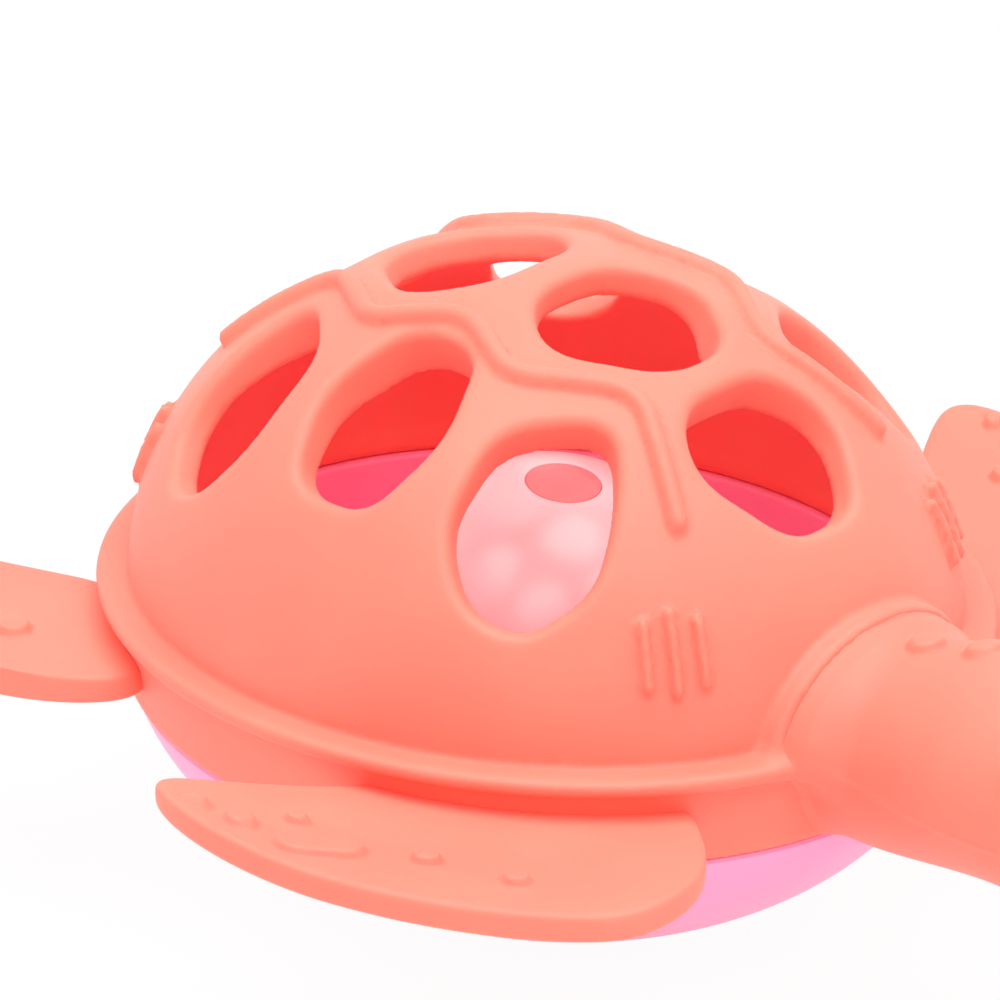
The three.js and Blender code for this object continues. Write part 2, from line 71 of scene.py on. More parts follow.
a, e = math.radians(AZIMUTH), math.radians(ELEVATION)
towards_camera = np.array([math.sin(a) * math.cos(e), -math.cos(a) * math.cos(e), math.sin(e)])
lens = bpy.data.cameras.new("photo_camera")
lens.sensor_width = SENSOR
lens.lens = SENSOR * DISTANCE / FRAME_WIDTH
lens.shift_x = 0.5 - AIM_IN_PICTURE[0]
lens.shift_y = AIM_IN_PICTURE[1] - 0.5
lens.clip_start, lens.clip_end = 0.01, 20
camera = bpy.data.objects.new("photo_camera", lens)
camera.location = AIM + DISTANCE * towards_camera
camera.rotation_euler = (math.radians(90 - ELEVATION), 0, a)
bpy.context.collection.objects.link(camera)
bpy.context.scene.camera = camera
print("lens", round(lens.lens, 1), "mm")

# %% [markdown]
# ## From arrays to meshes
#
# Every new piece is worked out in millimetres as a numpy array of rings. One function joins rings with quads, and
# another puts points and faces into a mesh. It also finds the signed volume: if that is negative, the faces point
# inwards and are turned round. A last small one is the gentle step that swells, flares and fillets all use.

# %% Mesh helpers
def joined_rings(rings, poles=()):
    """Quads between rings of points (rings, points per ring, 3), closed round each ring.

    Two poles close the ends with fans; with no poles the last ring joins the first.
    """
    count, around, _ = rings.shape
    here = np.arange(count * around).reshape(count, around)
    if not len(poles):
        here = np.concatenate([here, here[:1]])
    beside = np.roll(here, -1, axis=1)
    quads = np.stack([here[:-1], beside[:-1], beside[1:], here[1:]], -1).reshape(-1, 4)
    points = rings.reshape(-1, 3)
    fans = np.empty((0, 3), int)
    if len(poles):
        first, last = np.full(around, len(points)), np.full(around, len(points) + 1)
        fans = np.concatenate(
            [np.stack([first, beside[0], here[0]], -1), np.stack([last, here[-1], beside[-1]], -1)]
        )
        points = np.concatenate([points, poles])
    return points, quads, fans


def piece_from(name, points, quads, fans=np.empty((0, 3), int)):
    """A smooth-shaded mesh object from points in millimetres, with its faces turned outwards."""
    points = np.asarray(points, float) / 1000
    halves = np.concatenate([quads[:, [0, 1, 2]], quads[:, [0, 2, 3]], fans])
    p, q, r = points[halves[:, 0]], points[halves[:, 1]], points[halves[:, 2]]
    if np.einsum("ij,ij->", p, np.cross(q, r)) < 0:
        quads, fans = quads[:, ::-1], fans[:, ::-1]
    corners = np.concatenate([quads.ravel(), fans.ravel()]).astype(np.int32)
    starts = np.concatenate([4 * np.arange(len(quads)), 4 * len(quads) + 3 * np.arange(len(fans))])
    mesh = bpy.data.meshes.new(name)
    mesh.vertices.add(len(points))
    mesh.vertices.foreach_set("co", points.ravel())
    mesh.loops.add(len(corners))
    mesh.loops.foreach_set("vertex_index", corners)
    mesh.polygons.add(len(starts))
    mesh.polygons.foreach_set("loop_start", starts.astype(np.int32))
    mesh.update(calc_edges=True)
    mesh.validate()
    mesh.shade_smooth()
    piece = bpy.data.objects.new(name, mesh)
    bpy.context.collection.objects.link(piece)
    print(name, "has", len(quads) * 2 + len(fans), "triangles")
    return piece


def smooth_step(t):
    """Climbs from nought to one by 3t^2 - 2t^3 while t does, and is level before and after."""
    t = np.clip(t, 0, 1)
    return t * t * (3 - 2 * t)


def turned(profile, around, oval=1.0):
    """Rings from [radius, height] points carried round the upright axis, with the sideways reach times oval."""
    turn = np.linspace(0, 2 * np.pi, around, endpoint=False)
    radius, height = profile[:, :1], profile[:, 1:]
    x, y = radius * np.cos(turn), radius * np.sin(turn) * oval
    return np.stack([x, y, np.broadcast_to(height, x.shape)], -1)


def soft_corners(path, run, steps=7, closed=False):
    """Cuts each corner of a path with the curve (1-t)^2 A + 2t(1-t) C + t^2 B, from run before to run after."""
    path = np.asarray(path, float)
    run = np.broadcast_to(np.asarray(run, float), len(path))[:, None]
    to_before, to_after = np.roll(path, 1, 0) - path, np.roll(path, -1, 0) - path
    length_before = np.linalg.norm(to_before, axis=1, keepdims=True)
    length_after = np.linalg.norm(to_after, axis=1, keepdims=True)
    run = np.minimum(run, 0.5 * np.minimum(length_before, length_after))
    start, finish = path + run * to_before / length_before, path + run * to_after / length_after
    t = np.linspace(0, 1, steps)[None, :, None]
    curves = (1 - t) ** 2 * start[:, None] + 2 * t * (1 - t) * path[:, None] + t**2 * finish[:, None]
    if closed:
        return curves.reshape(-1, path.shape[1])
    return np.concatenate([path[:1], curves[1:-1].reshape(-1, path.shape[1]), path[-1:]])


print("a quarter of the way, the gentle step is at", smooth_step(0.25))

# %% [markdown]
# ## Finishes: a place to start
#
# Colours are written as sRGB hex values, as a paint program shows them, and one function makes them linear for the
# shader. One small function adds a node, sets its values and joins its inputs, so that each material reads as a
# short list.

# %% Node helpers
def linear(hex_colour):
    """An sRGB hex value as linear red, green, blue and alpha."""
    parts = [int(hex_colour[i : i + 2], 16) / 255 for i in (1, 3, 5)]
    return [p / 12.92 if p <= 0.04045 else ((p + 0.055) / 1.055) ** 2.4 for p in parts] + [1.0]


def add_node(tree, kind, values=None, links=None, **settings):
    """Adds a node, sets its attributes and input values, and joins inputs to (node, output) pairs."""
    node = tree.nodes.new(kind)
    for key, value in settings.items():
        setattr(node, key, value)
    for key, value in (values or {}).items():
        node.inputs[key].default_value = value
    for key, (source, output) in (links or {}).items():
        tree.links.new(source.outputs[output], node.inputs[key])
    return node


def new_material(name):
    """A material with only its output node, and that node."""
    material = bpy.data.materials.new(name)
    material.use_nodes = True
    material.node_tree.nodes.clear()
    return material, material.node_tree, material.node_tree.nodes.new("ShaderNodeOutputMaterial")


print("sRGB mid grey is", round(linear("#808080")[0], 3), "in linear light")

# %% [markdown]
# ## Coral rubber
#
# The shell, head and flippers are moulded silicone rubber. It is matt from a finely blasted mould, so highlights
# are broad and weak. Light goes a little way in and comes out redder, which warms the shadows and the thin edges.
# The colour drifts very slightly over a few centimetres, and the blasted grain is drawn at about 0.4 mm, coarser
# than the real one, so that it shows at all.

# %% Coral silicone
def coral_silicone():
    """Matt rubber between two close corals, with light that goes a little way in and a fine blasted grain."""
    material, tree, output = new_material("coral_silicone")
    place = add_node(tree, "ShaderNodeTexCoord")
    drift = add_node(
        tree, "ShaderNodeTexNoise", {"Scale": 1 / 0.02, "Detail": 2.0}, {"Vector": (place, "Object")}
    )
    colour = add_node(tree, "ShaderNodeValToRGB", links={"Fac": (drift, "Fac")})
    colour.color_ramp.elements[0].position, colour.color_ramp.elements[1].position = 0.35, 0.65
    colour.color_ramp.elements[0].color = linear("#FF7E6B")
    colour.color_ramp.elements[1].color = linear("#FF8470")
    grain = add_node(
        tree, "ShaderNodeTexNoise", {"Scale": 1 / 0.0004, "Detail": 1.0}, {"Vector": (place, "Object")}
    )
    roughness = add_node(
        tree, "ShaderNodeMapRange", {"To Min": 0.46, "To Max": 0.56}, {"Value": (drift, "Fac")}
    )
    bump = add_node(
        tree, "ShaderNodeBump", {"Strength": 0.12, "Distance": 0.00006}, {"Height": (grain, "Fac")}
    )
    shader = add_node(
        tree,
        "ShaderNodeBsdfPrincipled",
        {
            "IOR": 1.41,
            "Subsurface Weight": 0.4,
            "Subsurface Radius": (1.0, 0.5, 0.4),
            "Subsurface Scale": 0.0012,
            "Sheen Weight": 0.08,
            "Sheen Roughness": 0.5,
        },
        {"Base Color": (colour, "Color"), "Roughness": (roughness, "Result"), "Normal": (bump, "Normal")},
    )
    tree.links.new(shader.outputs["BSDF"], output.inputs["Surface"])
    return material


coral = coral_silicone()
print("made", coral.name)

# %% [markdown]
# ## The shell, drawn flat first
#
# The dome has ten finger openings, two zig-zag ridges and four sets of short strokes. All of them follow the dome
# like a pattern on a ball, so they are first drawn on a flat sheet whose two directions are degrees from the top of
# the dome, along the heading and across it. The pattern is the same fore and aft and on both sides, so one quarter
# of the sheet is enough. On it, three maps hold the distance in millimetres to the openings' edges, to the ridge
# and to the strokes.

# %% Flat pattern of the dome
PATTERN_FORWARD = 1.5  # the pattern's middle, ahead of the top
OPENINGS = [
    [[2.7, 9], [13, 17.5], [26.6, 7], [26.6, -7], [13, -17.5], [2.7, -9]],
    [[31, 10], [41, 17], [56.5, 8.5], [56.5, -8.5], [41, -17], [31, -10]],
    [[6, 21.6], [12, 38], [7.6, 54.2], [-7.6, 54.2], [-12, 38], [-6, 21.6]],
    [[16.1, 32], [27.6, 18.8], [37.3, 29.2], [44.1, 42], [39.6, 55.8], [29, 58.3], [19.3, 50]],
]
HALF_RIDGE = [[0, 17.5], [12.5, 24], [26.5, 13.5], [44.2, 24.4]]
STROKE_HEADINGS = [28.5, 32.5, 36.5]
STROKE_FROM_TOP = [[65.8, 75.6], [64.6, 76.6], [65.8, 75.6]]
FLAT_SCALE = np.array([0.8, 0.72])  # millimetres in a degree, along and across
FLAT_STEP = 0.25  # degrees
FLAT_SIZE = 100
OPENING_CORNER, RIDGE_CORNER = 6.5, 4.0  # degrees that a rounded corner takes from each side


def path_distance(places, path):
    """Distance from places to the nearest of a path's straight pieces."""
    nearest = np.full(places.shape[:-1], np.inf)
    for start, finish in zip(path[:-1], path[1:]):
        way = finish - start
        t = np.clip((places - start) @ way / max(way @ way, 1e-9), 0, 1)
        nearest = np.minimum(nearest, np.linalg.norm(places - start - t[..., None] * way, axis=-1))
    return nearest


def inside(places, outline):
    """True where a line from the place to the far right crosses the outline an odd number of times."""
    odd = np.zeros(places.shape[:-1], bool)
    for start, finish in zip(outline, np.roll(outline, -1, 0)):
        rise = finish[1] - start[1]
        if rise:
            spans = (start[1] > places[..., 1]) != (finish[1] > places[..., 1])
            crossing = start[0] + (places[..., 1] - start[1]) / rise * (finish[0] - start[0])
            odd ^= spans & (places[..., 0] < crossing)
    return odd


steps = np.arange(0, FLAT_SIZE + FLAT_STEP, FLAT_STEP)
flat = np.stack(np.meshgrid(steps, steps, indexing="ij"), -1) * FLAT_SCALE

opening_map = np.full(flat.shape[:-1], np.inf)
for corners in OPENINGS:
    outline = soft_corners(corners, OPENING_CORNER, closed=True) * FLAT_SCALE
    away = path_distance(flat, np.concatenate([outline, outline[:1]]))
    opening_map = np.minimum(opening_map, np.where(inside(flat, outline), -away, away))

ridge_corners = np.array([[-u, v] for u, v in HALF_RIDGE[:0:-1]] + HALF_RIDGE)
ridge_map = path_distance(flat, soft_corners(ridge_corners, RIDGE_CORNER) * FLAT_SCALE)

stroke_map = np.full(flat.shape[:-1], np.inf)
for heading, ends in zip(STROKE_HEADINGS, STROKE_FROM_TOP):
    way = np.array([math.cos(math.radians(heading)), math.sin(math.radians(heading))])
    stroke_map = np.minimum(stroke_map, path_distance(flat, np.outer(ends, way) * FLAT_SCALE))
print("flat pattern", opening_map.shape, "places; widest opening", round(-2 * opening_map.min(), 1), "mm")

# %% [markdown]
# ## The shell as a field of distances
#
# A dome with soft-edged openings can't be one grid of two parameters, so the shell is made another way: a function
# that gives, for any point in space, about how far it is from the rubber's surface. Ellipsoids, capsules and slabs
# are simple distances. A smooth minimum joins two of them with a fillet, and a smooth maximum cuts one from another
# with a rounded edge, which is just how soft moulded rubber looks.

# %% Joining and cutting distances
def oval_distance(p, halves):
    """Distance outside an oval or ellipsoid, nearly: k (k - 1) / m, with k = |p / halves|, m = |p / halves^2|."""
    k = np.linalg.norm(p / halves, axis=-1)
    m = np.linalg.norm(p / halves**2, axis=-1)
    return k * (k - 1) / np.maximum(m, 1e-9)


def soft_union(one, other, fillet):
    """The smaller of two distances, less fillet / 4 times (1 - difference / fillet)^2 where they are that close."""
    near = np.clip(fillet - np.abs(one - other), 0, None) / fillet
    return np.minimum(one, other) - near**2 * fillet / 4


def soft_cut(one, other, fillet):
    """The larger of two distances, rounded off in the same way."""
    return -soft_union(-one, -other, fillet)


def flat_reading(field, along, across):
    """A flat map read between its places by bilinear weights."""
    i = np.clip(along / FLAT_STEP, 0, field.shape[0] - 1.001)
    j = np.clip(across / FLAT_STEP, 0, field.shape[1] - 1.001)
    i0, j0 = i.astype(int), j.astype(int)
    i, j = i - i0, j - j0
    near = field[i0, j0] * (1 - j) + field[i0, j0 + 1] * j
    far = field[i0 + 1, j0] * (1 - j) + field[i0 + 1, j0 + 1] * j
    return near * (1 - i) + far * i


print("1 mm from two surfaces, a 4 mm fillet between them is", soft_union(1.0, 1.0, 4.0), "mm away")

# %% [markdown]
# ## The neck, before the shell
#
# The rim rises to an arch that follows the neck's outline, so the neck's form is needed first. It is a row of ovals
# that swell towards the head, and its upper sides flare out at the root, because moulded rubber tears at a sharp
# inner corner.

# %% Distance to the neck's surface
RIM_HEIGHT = 33.5  # the other heights of the shell and the neck are measured from it
PIVOT = 48.3  # where the neck leaves the shell
NECK_HALVES, NECK_MIDDLE = np.array([12.4, 11.6]), -0.6
HEAD_MIDDLE, HEAD_LIFT, HEAD_HALVES = 24.5, 3.4, np.array([14.7, 12.5])
SWELL_START = 2.9  # ahead of the pivot, where the neck begins to widen to the head
ROOT_FLARE = 2.0
FLARE_FOOT, FLARE_CLIMB, FLARE_END, FLARE_FADE = -4, 5, 7, 5  # heights, then distances ahead of the pivot


def root_flare(points):
    """How much the neck widens at its root: nothing below, on top and further ahead, most at the upper sides."""
    y, z = points[..., 1], points[..., 2] - RIM_HEIGHT
    across, up = (y / NECK_HALVES[0]) ** 2, ((z - NECK_MIDDLE) / NECK_HALVES[1]) ** 2
    at_side = across / np.maximum(across + up, 1e-9)
    from_root = smooth_step((FLARE_END - points[..., 0] + PIVOT) / FLARE_FADE)
    return ROOT_FLARE * smooth_step((z - FLARE_FOOT) / FLARE_CLIMB) * at_side * from_root


def head_section(ahead):
    """Half sizes and middle height of the neck's or head's oval at a distance ahead of the pivot."""
    swell = smooth_step((ahead - SWELL_START) / (HEAD_MIDDLE - SWELL_START))
    return NECK_HALVES + (HEAD_HALVES - NECK_HALVES) * swell[..., None], NECK_MIDDLE + HEAD_LIFT * swell


def neck_distance(points):
    """Distance outside the neck's ovals, which flare towards the root."""
    halves, middle = head_section(points[..., 0] - PIVOT)
    section = np.stack([points[..., 1], points[..., 2] - RIM_HEIGHT - middle], -1)
    return oval_distance(section, halves) - root_flare(points)


print("neck before it swells:", *(2 * NECK_HALVES), "mm across and high")

# %% [markdown]
# ## The shell, joined and cut
#
# The dome's wall, the ledge inside it, the band that grips the bowl, the lip and the arch are joined first. Then
# the ridges and strokes are added and the finger openings cut, each read from the flat pattern. The tunnel for the
# neck comes last. In the photograph the wall is thicker on the upper right and front, and the far openings end
# higher than the near ones, so both are allowed for.

# %% Distance to the shell's surface
RIM_RADIUS = 52.6
OVAL = 94 / 106
LIP_HALF, LIP_RISE, LIP_INNER = 0.95, 0.3, 47
DOME = np.array([48.8, 48.8 * OVAL, 39.0])
INNER_DOME = np.array([45.0, 39.8, 35.1])
WALL_FOOT = -1
THICKER = 1.9  # more wall on the upper right and front, where the openings show it
THICKER_START, THICKER_CLIMB, THICKER_END, THICKER_FADE = 10, 14, 52, 20  # degrees from the top
OPENING_INSET, OPENING_DEPTH = 0.3, 6
OPENING_DRAFT = 0.04  # how much an opening narrows on each side for a millimetre of depth
EDGE_ROUND, EDGE_SHARPER = 1.6, 0.2  # the rounding of its edge, and how much less for a millimetre of depth
LEFT_RAISE = 5.4  # degrees by which the far openings' lower edges sit higher in the photograph
LEFT_START, LEFT_CLIMB = 28, 22  # degrees across, where the raise comes in
RIDGE_HALVES, STROKE_HALVES = np.array([1.1, 1.55]), np.array([0.7, 1.25])
BAND_TOP, BAND_FOOT, BAND_OVERLAP = -1.2, -10.25, 0.3
BAND_OUTER, BAND_TAPER, BAND_INNER = 50.8, 1.2, 46.6
LEDGE_INNER, LEDGE_OUTER, LEDGE_FOOT, LEDGE_TOP = 44.9, 48, -2.25, 0.5
ARCH_HALF, ARCH_OUT, ARCH_PROUD, ARCH_DEEP = 0.65, 0.95, 2.0, -2
ARCH_BACK, ARCH_FOOT = 25, -0.4
FINE_FILLET, WALL_FILLET, LIP_TO_ARCH = 0.2, 0.5, 2.2
FACE_ROUND, FOOT_ROUND = 0.8, 1.2
TUNNEL_BACK, NECK_INSET = 20, 0.8


def on_flat(p, proud):
    """Degrees along and across of the dome's place under each point, found square to the dome."""
    out = p / DOME**2
    out /= np.maximum(np.linalg.norm(out, axis=-1, keepdims=True), 1e-9)
    unit = (p - out * proud[..., None]) / DOME
    sideways = np.maximum(np.hypot(unit[..., 0], unit[..., 1]), 1e-9)
    from_top = np.degrees(np.arctan2(sideways, unit[..., 2]))
    return from_top * unit[..., 0] / sideways, from_top * unit[..., 1] / sideways


def closed_shell_distance(points):
    """Distance in mm to the shell's surface before the neck's tunnel is cut, below zero in the rubber."""
    p = points - np.array([0, 0, RIM_HEIGHT])
    x, y, z = p[..., 0], p[..., 1], p[..., 2]
    around = np.hypot(x, y / OVAL)
    proud = oval_distance(p, DOME)

    along, across = on_flat(p, proud)
    right_or_front = np.hypot(np.minimum(across, 0), np.maximum(along, 0))
    fade = np.clip((THICKER_END - np.hypot(along, across)) / THICKER_FADE, 0, 1)
    thicker = THICKER * smooth_step((right_or_front - THICKER_START) / THICKER_CLIMB) * fade
    wall = np.maximum(np.maximum(proud, -oval_distance(p, INNER_DOME) - thicker), WALL_FOOT - z)
    ledge = soft_cut(
        np.maximum(LEDGE_INNER - around, around - LEDGE_OUTER),
        np.maximum(LEDGE_FOOT - z, z - LEDGE_TOP),
        FACE_ROUND,
    )
    band_outer = BAND_OUTER - BAND_TAPER * np.clip((BAND_TOP - z) / (BAND_TOP - BAND_FOOT), 0, 1)
    band = soft_cut(around - band_outer, BAND_INNER - around, FACE_ROUND)
    band = soft_cut(band, BAND_FOOT - z, FOOT_ROUND)
    band = np.maximum(band, z - BAND_OVERLAP)
    lip = np.hypot(around - np.clip(around, LIP_INNER, RIM_RADIUS - LIP_HALF), z - LIP_RISE) - LIP_HALF
    off_arch = proud - np.clip(proud, ARCH_DEEP, ARCH_PROUD - ARCH_HALF)
    arch = np.hypot(neck_distance(points) - ARCH_OUT, off_arch) - ARCH_HALF
    arch = np.maximum(np.maximum(arch, ARCH_BACK - x), ARCH_FOOT - z)
    rim = soft_union(lip, arch, LIP_TO_ARCH)
    shell = soft_union(soft_union(wall, ledge, WALL_FILLET), rim, FINE_FILLET)
    shell = soft_union(shell, band, WALL_FILLET)

    folded = np.abs(along - PATTERN_FORWARD)
    ridge = np.stack([flat_reading(ridge_map, folded, np.abs(across)), proud], -1)
    shell = soft_union(shell, oval_distance(ridge, RIDGE_HALVES), FINE_FILLET)
    stroke = np.stack([flat_reading(stroke_map, np.abs(along), np.abs(across)), proud], -1)
    shell = soft_union(shell, oval_distance(stroke, STROKE_HALVES), FINE_FILLET)
    depth = np.clip(-proud, 0, OPENING_DEPTH)
    raised = np.abs(across) + LEFT_RAISE * smooth_step((across - LEFT_START) / LEFT_CLIMB)
    opening = flat_reading(opening_map, folded, raised) + OPENING_INSET + OPENING_DRAFT * depth
    return soft_cut(shell, -opening, EDGE_ROUND - EDGE_SHARPER * depth)


def shell_distance(points):
    """Distance in mm to the shell's surface, with a tunnel whose edge is buried in the neck's wall."""
    tunnel = np.maximum(neck_distance(points) + NECK_INSET, TUNNEL_BACK - points[..., 0])
    return np.maximum(closed_shell_distance(points), -tunnel)


up_the_middle = np.zeros((1601, 3))
up_the_middle[:, 2] = np.linspace(60, 76, 1601)
thickness = 0.01 * (shell_distance(up_the_middle) < 0).sum()
print("rubber at the top of the dome:", round(thickness, 1), "mm thick")

# %% [markdown]
# ## From the field to a mesh
#
# The field is read on a lattice of points. Every lattice cell that the surface passes through gets one mesh point,
# at the mean of the crossings on its edges, and every lattice edge that crosses the surface gets one quad between
# the four cells round it. A few Newton steps along the field's slope then put each point on the true surface, so
# the lattice doesn't show.

# %% Mesh of a distance field
SHELL_LOW, SHELL_HIGH, SHELL_PITCH = [-55, -49, 22], [55, 49, 75], 0.625
NUDGE, NEWTON_STEPS, LEAST_SLOPE = 0.02, 4, 0.05


def field_surface(distance, low, high, pitch):
    """Points and quads of the surface where a distance field is zero.

    Each Newton step moves a point by distance / |slope|^2 against the slope, by half a cell at most.
    """
    ticks = [np.arange(a, b + pitch, pitch) for a, b in zip(low, high)]
    value = distance(np.stack(np.meshgrid(*ticks, indexing="ij"), -1))
    cells = tuple(n - 1 for n in value.shape)
    total, count = np.zeros(cells + (3,)), np.zeros(cells)
    crossed = []
    for axis in range(3):
        start = np.take(value, range(value.shape[axis] - 1), axis)
        finish = np.take(value, range(1, value.shape[axis]), axis)
        cross = (start < 0) != (finish < 0)
        part = np.where(cross, start / np.where(cross, start - finish, 1), 0)
        crossed.append((cross, start < 0))
        for first in (0, 1):
            for second in (0, 1):
                shift = np.insert([first, second], axis, 0)
                window = tuple(slice(s, s + n) for s, n in zip(shift, cells))
                hit = cross[window]
                place = np.zeros(cells + (3,)) + shift
                place[..., axis] = part[window]
                total += np.where(hit[..., None], place, 0)
                count += hit
    used = count > 0
    number = np.full(cells, -1)
    number[used] = np.arange(used.sum())
    points = low + pitch * (np.argwhere(used) + total[used] / count[used][:, None])

    quads = []
    for axis, (cross, rising) in enumerate(crossed):
        others = [k for k in range(3) if k != axis]
        inner = [slice(None)] * 3
        inner[others[0]], inner[others[1]] = slice(1, -1), slice(1, -1)
        edge = np.argwhere(cross[tuple(inner)])
        flip = rising[tuple(inner)][tuple(edge.T)] ^ (axis == 1)
        corner = []
        for first, second in ((0, 0), (1, 0), (1, 1), (0, 1)):
            cell = edge.copy()
            cell[:, others[0]] += first
            cell[:, others[1]] += second
            corner.append(number[tuple(cell.T)])
        quad = np.stack(corner, -1)
        quads.append(np.where(flip[:, None], quad, quad[:, ::-1]))

    nudge = NUDGE * np.eye(3)
    for _ in range(NEWTON_STEPS):
        slope = np.stack([distance(points + n) - distance(points - n) for n in nudge], -1) / (2 * NUDGE)
        size = np.maximum((slope**2).sum(-1), LEAST_SLOPE)
        step = np.clip(distance(points) / size, -pitch / 2, pitch / 2)
        points = points - step[:, None] * slope
    return points, np.concatenate(quads)


shell_points, shell_quads = field_surface(shell_distance, SHELL_LOW, SHELL_HIGH, SHELL_PITCH)
carapace = piece_from("shell_dome", shell_points, shell_quads)
carapace.data.materials.append(coral)
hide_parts("carapace")
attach(carapace, "shell")

# %% [markdown]
# ## Head and neck
#
# The head is a hollow rubber form, open behind. Its outline is a row of ovals: a plain neck, a swell to the head
# and a round nose. The grid runs from the inside of the nose back along the hollow, round the root and out along
# the outside to the nose again. Its rows lie close together near the arch, where the form changes most.

# %% Rings of the head
NECK_ROOT, HEAD_REACH = 8.5, 39.5
HEAD_WALL = 3.0
HEAD_LEVEL = RIM_HEIGHT + NECK_MIDDLE + HEAD_LIFT
FINE_START, FINE_END = -2, 9  # ahead of the pivot, where the rows are close together
ROOT_ROWS, FINE_ROWS, SWELL_ROWS, NOSE_ROWS = 8, 132, 50, 46
HOLLOW_ROWS, HOLLOW_NOSE_ROWS, HEAD_AROUND = 30, 12, 256


def head_rings(inset, turn, back, nose_rows):
    """Ovals from the root to the nose: half sizes and middle swell with distance ahead, up to an oval end."""
    nose = np.linspace(0, np.pi / 2, nose_rows + 2)[1:-1]
    ahead = np.concatenate([back, HEAD_MIDDLE + (HEAD_REACH - HEAD_MIDDLE - inset) * np.sin(nose)])
    shrink = np.concatenate([np.ones(len(back)), np.cos(nose)])[:, None]
    halves, middle = head_section(np.minimum(ahead, HEAD_MIDDLE))
    halves = (halves - inset) * shrink
    y = halves[:, :1] * np.cos(turn)
    z = RIM_HEIGHT + middle[:, None] + halves[:, 1:] * np.sin(turn)
    x = np.broadcast_to(PIVOT + ahead[:, None], y.shape)
    return np.stack([x, y, z], -1)


turn = np.linspace(0, 2 * np.pi, HEAD_AROUND, endpoint=False)
rows = np.concatenate(
    [
        np.linspace(-NECK_ROOT, FINE_START, ROOT_ROWS, endpoint=False),
        np.linspace(FINE_START, FINE_END, FINE_ROWS, endpoint=False),
        np.linspace(FINE_END, HEAD_MIDDLE, SWELL_ROWS),
    ]
)
outside = head_rings(0, turn, rows, NOSE_ROWS)
hollow_rows = np.linspace(-NECK_ROOT, HEAD_MIDDLE, HOLLOW_ROWS)
hollow = head_rings(HEAD_WALL, turn, hollow_rows, HOLLOW_NOSE_ROWS)[::-1]
ahead = outside[..., 0] - PIVOT
print("rings of the head:", len(outside), "outside and", len(hollow), "inside")

# %% [markdown]
# ## Where the neck meets the shell
#
# The neck climbs to the arch and the band with a fillet, as one moulding would. The fillet is the soft union of
# the two distances, so each point near the shell is pushed out until it lies on that union. Halving the gap twelve
# times finds the place.

# %% Fillet at the neck
PUSH_MIDDLE = 2  # above the rim, the line that pushes lead away from
BAND_FILLET, ARCH_FILLET, FILLET_CLIMB = 1.3, 4.5, 4
CLIMB, CLIMB_FADE, LEAST_FILLET = 0.95, 0.5, 0.05  # the neck climbs the arch and the band, then goes into them
CLIMB_START, CLIMB_LOW, CLIMB_HALVINGS = -3.0, -0.5, 12
NECK_BACK = 44


def joined_distance(points):
    """Distance to shell and neck as one form, with a fillet that ends where the neck stops climbing."""
    neck = np.maximum(neck_distance(points), NECK_BACK - points[..., 0])
    at_arch = smooth_step((points[..., 2] - RIM_HEIGHT) / FILLET_CLIMB)
    fillet = BAND_FILLET + (ARCH_FILLET - BAND_FILLET) * at_arch
    fillet = LEAST_FILLET + fillet * smooth_step((CLIMB - neck) / CLIMB_FADE)
    return soft_union(closed_shell_distance(points), neck, fillet)


above = outside[..., 2] - RIM_HEIGHT - PUSH_MIDDLE
out = np.stack([np.zeros_like(above), outside[..., 1], above], -1)
out /= np.maximum(np.linalg.norm(out, axis=-1, keepdims=True), 1e-9)
outside = outside + root_flare(outside)[..., None] * out
low, high = np.full(ahead.shape, CLIMB_LOW), np.full(ahead.shape, CLIMB)
for _ in range(CLIMB_HALVINGS):
    push = (low + high) / 2
    short = joined_distance(outside + push[..., None] * out) < 0
    low, high = np.where(short, push, low), np.where(short, high, push)
push = np.where((ahead > CLIMB_START) & (ahead < FINE_END), low, 0)
outside = outside + push[..., None] * out
print("the neck climbs by up to", round(push.max(), 2), "mm")

# %% [markdown]
# ## Bumps, moulding line and face
#
# The outside is also pushed in and out for the low bumps on top, the fine moulding line at the level of the rim,
# the mouth and the nostrils. They are geometry. The face is outside the
# photograph, so it is kept plain.

# %% Bumps, moulding line and face
BUMP_RISE, BUMP_CROWN, BUMP_HEIGHT = 0.85, 0.15, 1.0
HEAD_BUMPS, HEAD_BUMP_RADIUS = [6.5, 14.0, 21.5], 2.4
PARTING_HEIGHT, PARTING_HALF, PARTING_START, PARTING_FADE = 0.2, 0.25, 3.5, 2
MOUTH_DEPTH, MOUTH_HALF, MOUTH_DROP, MOUTH_CURVE = 0.7, 0.45, 0.6, 0.02
MOUTH_START, MOUTH_FADE = 27, 6
NOSTRIL_DEPTH, NOSTRIL_HALF, NOSTRIL_ASIDE, NOSTRIL_UP, NOSTRIL_START = 0.8, 0.75, 2.6, 7.2, 30


def bump(away, radius, height):
    """A low button: it climbs by 3t^2 - 2t^3 over its outer part, then crowns gently to the middle."""
    crown = 1 - BUMP_CROWN * np.clip(away / radius, 0, 1) ** 2
    return height * smooth_step((radius - away) / BUMP_RISE) * crown


